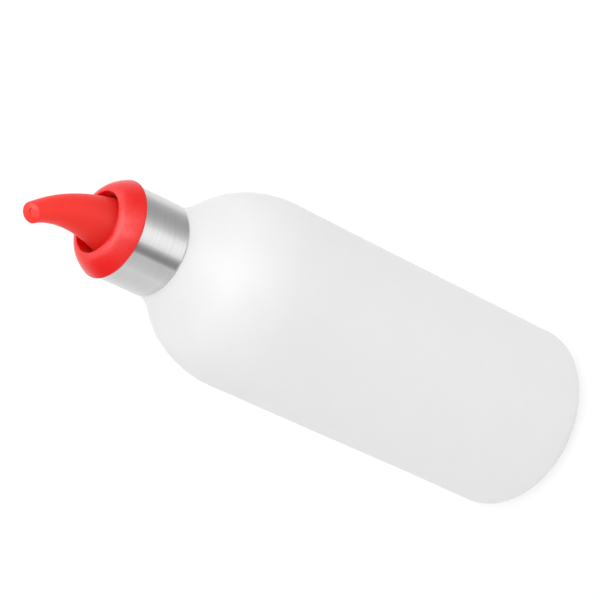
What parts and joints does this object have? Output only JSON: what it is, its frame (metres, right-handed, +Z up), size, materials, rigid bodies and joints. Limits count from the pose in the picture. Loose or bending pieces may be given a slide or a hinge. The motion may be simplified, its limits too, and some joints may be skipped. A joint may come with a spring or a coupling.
{
  "type": "glue applicator bottle",
  "caption": "White squeeze bottle for glue with a brushed steel collar, a red domed screw ring and a soft curved spout whose slit end opens when the bottle is squeezed.",
  "frame": {"origin": "centre of the base, on the surface that the bottle stands on", "axes": "+Z up along the bottle's axis, towards the spout; the spout bends to -X"},
  "size_m": [0.065, 0.065, 0.2186],
  "materials": {
    "bottle": "satin blown polyethylene, opaque white",
    "gasket": "matte, off-white",
    "closure": "satin moulded, white",
    "sleeve": "brushed round the collar",
    "valve": "matte silicone, milky",
    "stem": "satin moulded, natural",
    "washer": "smooth, natural",
    "ring": "satin moulded, red",
    "spout": "satin silicone, red"
  },
  "bodies": {
    "bottle": {"bottle_body": "bottle"},
    "cap_lift": {"neck_gasket": "gasket"},
    "cap": {"closure_shell": "closure", "steel_sleeve": "sleeve", "drip_valve": "valve", "spout_stem": "stem"},
    "spout": {"spout": "spout"},
    "ring_lift": {"slip_washer": "washer"},
    "ring": {"cap_ring": "ring"}
  },
  "joints": [
    {"name": "cap_rise", "type": "slide", "parent": "bottle", "child": "cap_lift", "axis": [0, 0, 1], "range_m": [0, 0.00635]},
    {"name": "cap_turn", "type": "hinge", "parent": "cap_lift", "child": "cap", "pos_m": [0, 0, 0.17], "axis": [0, 0, 1], "range_deg": [0, 540]},
    {"name": "spout_swivel", "type": "hinge", "parent": "cap", "child": "spout", "pos_m": [0, 0, 0.182], "axis": [0, 0, 1], "continuous": true},
    {"name": "ring_rise", "type": "slide", "parent": "cap", "child": "ring_lift", "axis": [0, 0, 1], "range_m": [0, 0.00226]},
    {"name": "ring_turn", "type": "hinge", "parent": "ring_lift", "child": "ring", "pos_m": [0, 0, 0.185], "axis": [0, 0, 1], "range_deg": [0, 405]}
  ],
  "couplings": [
    {"joint": "cap_rise", "follows": "cap_turn", "m_per_rad": 0.00067323},
    {"joint": "ring_rise", "follows": "ring_turn", "m_per_rad": 0.00031831}
  ]
}
